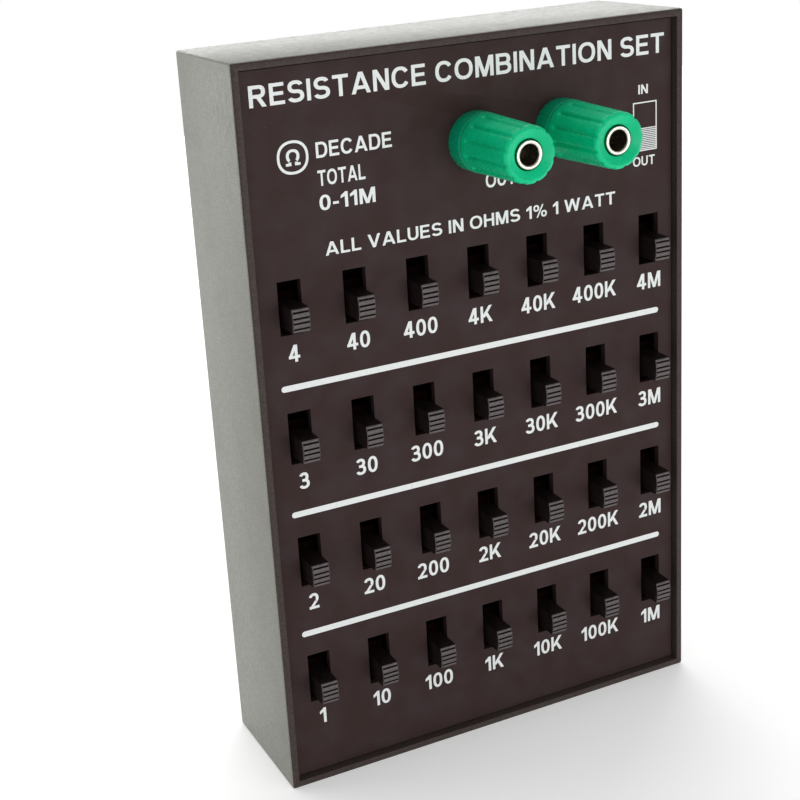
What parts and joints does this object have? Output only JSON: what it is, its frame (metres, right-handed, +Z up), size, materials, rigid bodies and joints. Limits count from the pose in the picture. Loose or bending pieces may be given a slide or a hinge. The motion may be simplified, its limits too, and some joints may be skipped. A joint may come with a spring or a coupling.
{
  "type": "resistance substitution box",
  "caption": "Hand-held resistance substitution box: slide switches in rows on a recessed panel, two screw-cap binding posts as terminals, in a shallow five-sided plastic case.",
  "frame": {"origin": "middle of the case's bottom face, which the box stands on", "axes": "+Z up the height of the panel, -Y out of the panel towards the user, +X to the user's right"},
  "size_m": [0.096, 0.0498, 0.146],
  "materials": {
    "case_plastic": "fine moulded texture",
    "panel_plastic": "satin",
    "panel_print": "matt printed ink",
    "knob_plastic": "satin",
    "post_green": "gloss",
    "collar_green": "gloss",
    "nickel_plate": "plated",
    "brass": "turned",
    "insulation": "satin",
    "board_laminate": "lacquered",
    "screw_steel": "blackened",
    "foot_rubber": "matt"
  },
  "bodies": {
    "root": {"case": "case_plastic", "front_panel": "panel_plastic", "circuit_board": "board_laminate", "left_post_collar": "collar_green", "left_post_stem": "nickel_plate", "left_post_rear_insulator": "insulation", "left_post_lug": "brass", "left_post_nut": "nickel_plate", "left_output_wire": "insulation", "right_post_collar": "collar_green", "right_post_stem": "nickel_plate", "right_post_rear_insulator": "insulation", "right_post_lug": "brass", "right_post_nut": "nickel_plate", "right_output_wire": "insulation", "case_screw_lower_left": "screw_steel", "foot_lower_left": "foot_rubber", "case_screw_upper_left": "screw_steel", "foot_upper_left": "foot_rubber", "case_screw_lower_right": "screw_steel", "foot_lower_right": "foot_rubber", "case_screw_upper_right": "screw_steel", "foot_upper_right": "foot_rubber"},
    "slider_4_ohm": {"slider_4_ohm": "knob_plastic"},
    "slider_40_ohm": {"slider_40_ohm": "knob_plastic"},
    "slider_400_ohm": {"slider_400_ohm": "knob_plastic"},
    "slider_4k_ohm": {"slider_4k_ohm": "knob_plastic"},
    "slider_40k_ohm": {"slider_40k_ohm": "knob_plastic"},
    "slider_400k_ohm": {"slider_400k_ohm": "knob_plastic"},
    "slider_4m_ohm": {"slider_4m_ohm": "knob_plastic"},
    "slider_3_ohm": {"slider_3_ohm": "knob_plastic"},
    "slider_30_ohm": {"slider_30_ohm": "knob_plastic"},
    "slider_300_ohm": {"slider_300_ohm": "knob_plastic"},
    "slider_3k_ohm": {"slider_3k_ohm": "knob_plastic"},
    "slider_30k_ohm": {"slider_30k_ohm": "knob_plastic"},
    "slider_300k_ohm": {"slider_300k_ohm": "knob_plastic"},
    "slider_3m_ohm": {"slider_3m_ohm": "knob_plastic"},
    "slider_2_ohm": {"slider_2_ohm": "knob_plastic"},
    "slider_20_ohm": {"slider_20_ohm": "knob_plastic"},
    "slider_200_ohm": {"slider_200_ohm": "knob_plastic"},
    "slider_2k_ohm": {"slider_2k_ohm": "knob_plastic"},
    "slider_20k_ohm": {"slider_20k_ohm": "knob_plastic"},
    "slider_200k_ohm": {"slider_200k_ohm": "knob_plastic"},
    "slider_2m_ohm": {"slider_2m_ohm": "knob_plastic"},
    "slider_1_ohm": {"slider_1_ohm": "knob_plastic"},
    "slider_10_ohm": {"slider_10_ohm": "knob_plastic"},
    "slider_100_ohm": {"slider_100_ohm": "knob_plastic"},
    "slider_1k_ohm": {"slider_1k_ohm": "knob_plastic"},
    "slider_10k_ohm": {"slider_10k_ohm": "knob_plastic"},
    "slider_100k_ohm": {"slider_100k_ohm": "knob_plastic"},
    "slider_1m_ohm": {"slider_1m_ohm": "knob_plastic"},
    "left_post_insert": {"left_post_insert": "brass"},
    "left_post_cap": {"left_post_cap": "post_green"},
    "right_post_insert": {"right_post_insert": "brass"},
    "right_post_cap": {"right_post_cap": "post_green"}
  },
  "joints": [
    {"name": "switch_4_ohm", "type": "slide", "parent": "root", "child": "slider_4_ohm", "axis": [0, 0, 1], "range_m": [0, 0.0026]},
    {"name": "switch_40_ohm", "type": "slide", "parent": "root", "child": "slider_40_ohm", "axis": [0, 0, 1], "range_m": [0, 0.0026]},
    {"name": "switch_400_ohm", "type": "slide", "parent": "root", "child": "slider_400_ohm", "axis": [0, 0, 1], "range_m": [0, 0.0026]},
    {"name": "switch_4k_ohm", "type": "slide", "parent": "root", "child": "slider_4k_ohm", "axis": [0, 0, 1], "range_m": [0, 0.0026]},
    {"name": "switch_40k_ohm", "type": "slide", "parent": "root", "child": "slider_40k_ohm", "axis": [0, 0, 1], "range_m": [0, 0.0026]},
    {"name": "switch_400k_ohm", "type": "slide", "parent": "root", "child": "slider_400k_ohm", "axis": [0, 0, 1], "range_m": [0, 0.0026]},
    {"name": "switch_4m_ohm", "type": "slide", "parent": "root", "child": "slider_4m_ohm", "axis": [0, 0, 1], "range_m": [0, 0.0026]},
    {"name": "switch_3_ohm", "type": "slide", "parent": "root", "child": "slider_3_ohm", "axis": [0, 0, 1], "range_m": [0, 0.0026]},
    {"name": "switch_30_ohm", "type": "slide", "parent": "root", "child": "slider_30_ohm", "axis": [0, 0, 1], "range_m": [0, 0.0026]},
    {"name": "switch_300_ohm", "type": "slide", "parent": "root", "child": "slider_300_ohm", "axis": [0, 0, 1], "range_m": [0, 0.0026]},
    {"name": "switch_3k_ohm", "type": "slide", "parent": "root", "child": "slider_3k_ohm", "axis": [0, 0, 1], "range_m": [0, 0.0026]},
    {"name": "switch_30k_ohm", "type": "slide", "parent": "root", "child": "slider_30k_ohm", "axis": [0, 0, 1], "range_m": [0, 0.0026]},
    {"name": "switch_300k_ohm", "type": "slide", "parent": "root", "child": "slider_300k_ohm", "axis": [0, 0, 1], "range_m": [0, 0.0026]},
    {"name": "switch_3m_ohm", "type": "slide", "parent": "root", "child": "slider_3m_ohm", "axis": [0, 0, 1], "range_m": [0, 0.0026]},
    {"name": "switch_2_ohm", "type": "slide", "parent": "root", "child": "slider_2_ohm", "axis": [0, 0, 1], "range_m": [0, 0.0026]},
    {"name": "switch_20_ohm", "type": "slide", "parent": "root", "child": "slider_20_ohm", "axis": [0, 0, 1], "range_m": [0, 0.0026]},
    {"name": "switch_200_ohm", "type": "slide", "parent": "root", "child": "slider_200_ohm", "axis": [0, 0, 1], "range_m": [0, 0.0026]},
    {"name": "switch_2k_ohm", "type": "slide", "parent": "root", "child": "slider_2k_ohm", "axis": [0, 0, 1], "range_m": [0, 0.0026]},
    {"name": "switch_20k_ohm", "type": "slide", "parent": "root", "child": "slider_20k_ohm", "axis": [0, 0, 1], "range_m": [0, 0.0026]},
    {"name": "switch_200k_ohm", "type": "slide", "parent": "root", "child": "slider_200k_ohm", "axis": [0, 0, 1], "range_m": [0, 0.0026]},
    {"name": "switch_2m_ohm", "type": "slide", "parent": "root", "child": "slider_2m_ohm", "axis": [0, 0, 1], "range_m": [0, 0.0026]},
    {"name": "switch_1_ohm", "type": "slide", "parent": "root", "child": "slider_1_ohm", "axis": [0, 0, 1], "range_m": [0, 0.0026]},
    {"name": "switch_10_ohm", "type": "slide", "parent": "root", "child": "slider_10_ohm", "axis": [0, 0, 1], "range_m": [0, 0.0026]},
    {"name": "switch_100_ohm", "type": "slide", "parent": "root", "child": "slider_100_ohm", "axis": [0, 0, 1], "range_m": [0, 0.0026]},
    {"name": "switch_1k_ohm", "type": "slide", "parent": "root", "child": "slider_1k_ohm", "axis": [0, 0, 1], "range_m": [0, 0.0026]},
    {"name": "switch_10k_ohm", "type": "slide", "parent": "root", "child": "slider_10k_ohm", "axis": [0, 0, 1], "range_m": [0, 0.0026]},
    {"name": "switch_100k_ohm", "type": "slide", "parent": "root", "child": "slider_100k_ohm", "axis": [0, 0, 1], "range_m": [0, 0.0026]},
    {"name": "switch_1m_ohm", "type": "slide", "parent": "root", "child": "slider_1m_ohm", "axis": [0, 0, 1], "range_m": [0, 0.0026]},
    {"name": "left_cap_travel", "type": "slide", "parent": "root", "child": "left_post_insert", "axis": [0, -1, 0], "range_m": [0, 0.0053]},
    {"name": "left_cap_turn", "type": "hinge", "parent": "left_post_insert", "child": "left_post_cap", "pos_m": [0.0007, -0.025, 0.1258], "axis": [0, -1, 0], "range_deg": [0, 1980]},
    {"name": "right_cap_travel", "type": "slide", "parent": "root", "child": "right_post_insert", "axis": [0, -1, 0], "range_m": [0, 0.0053]},
    {"name": "right_cap_turn", "type": "hinge", "parent": "right_post_insert", "child": "right_post_cap", "pos_m": [0.01975, -0.025, 0.1258], "axis": [0, -1, 0], "range_deg": [0, 1980]}
  ],
  "couplings": [
    {"joint": "left_cap_turn", "follows": "left_cap_travel", "rad_per_m": 6283.2},
    {"joint": "right_cap_turn", "follows": "right_cap_travel", "rad_per_m": 6283.2}
  ]
}
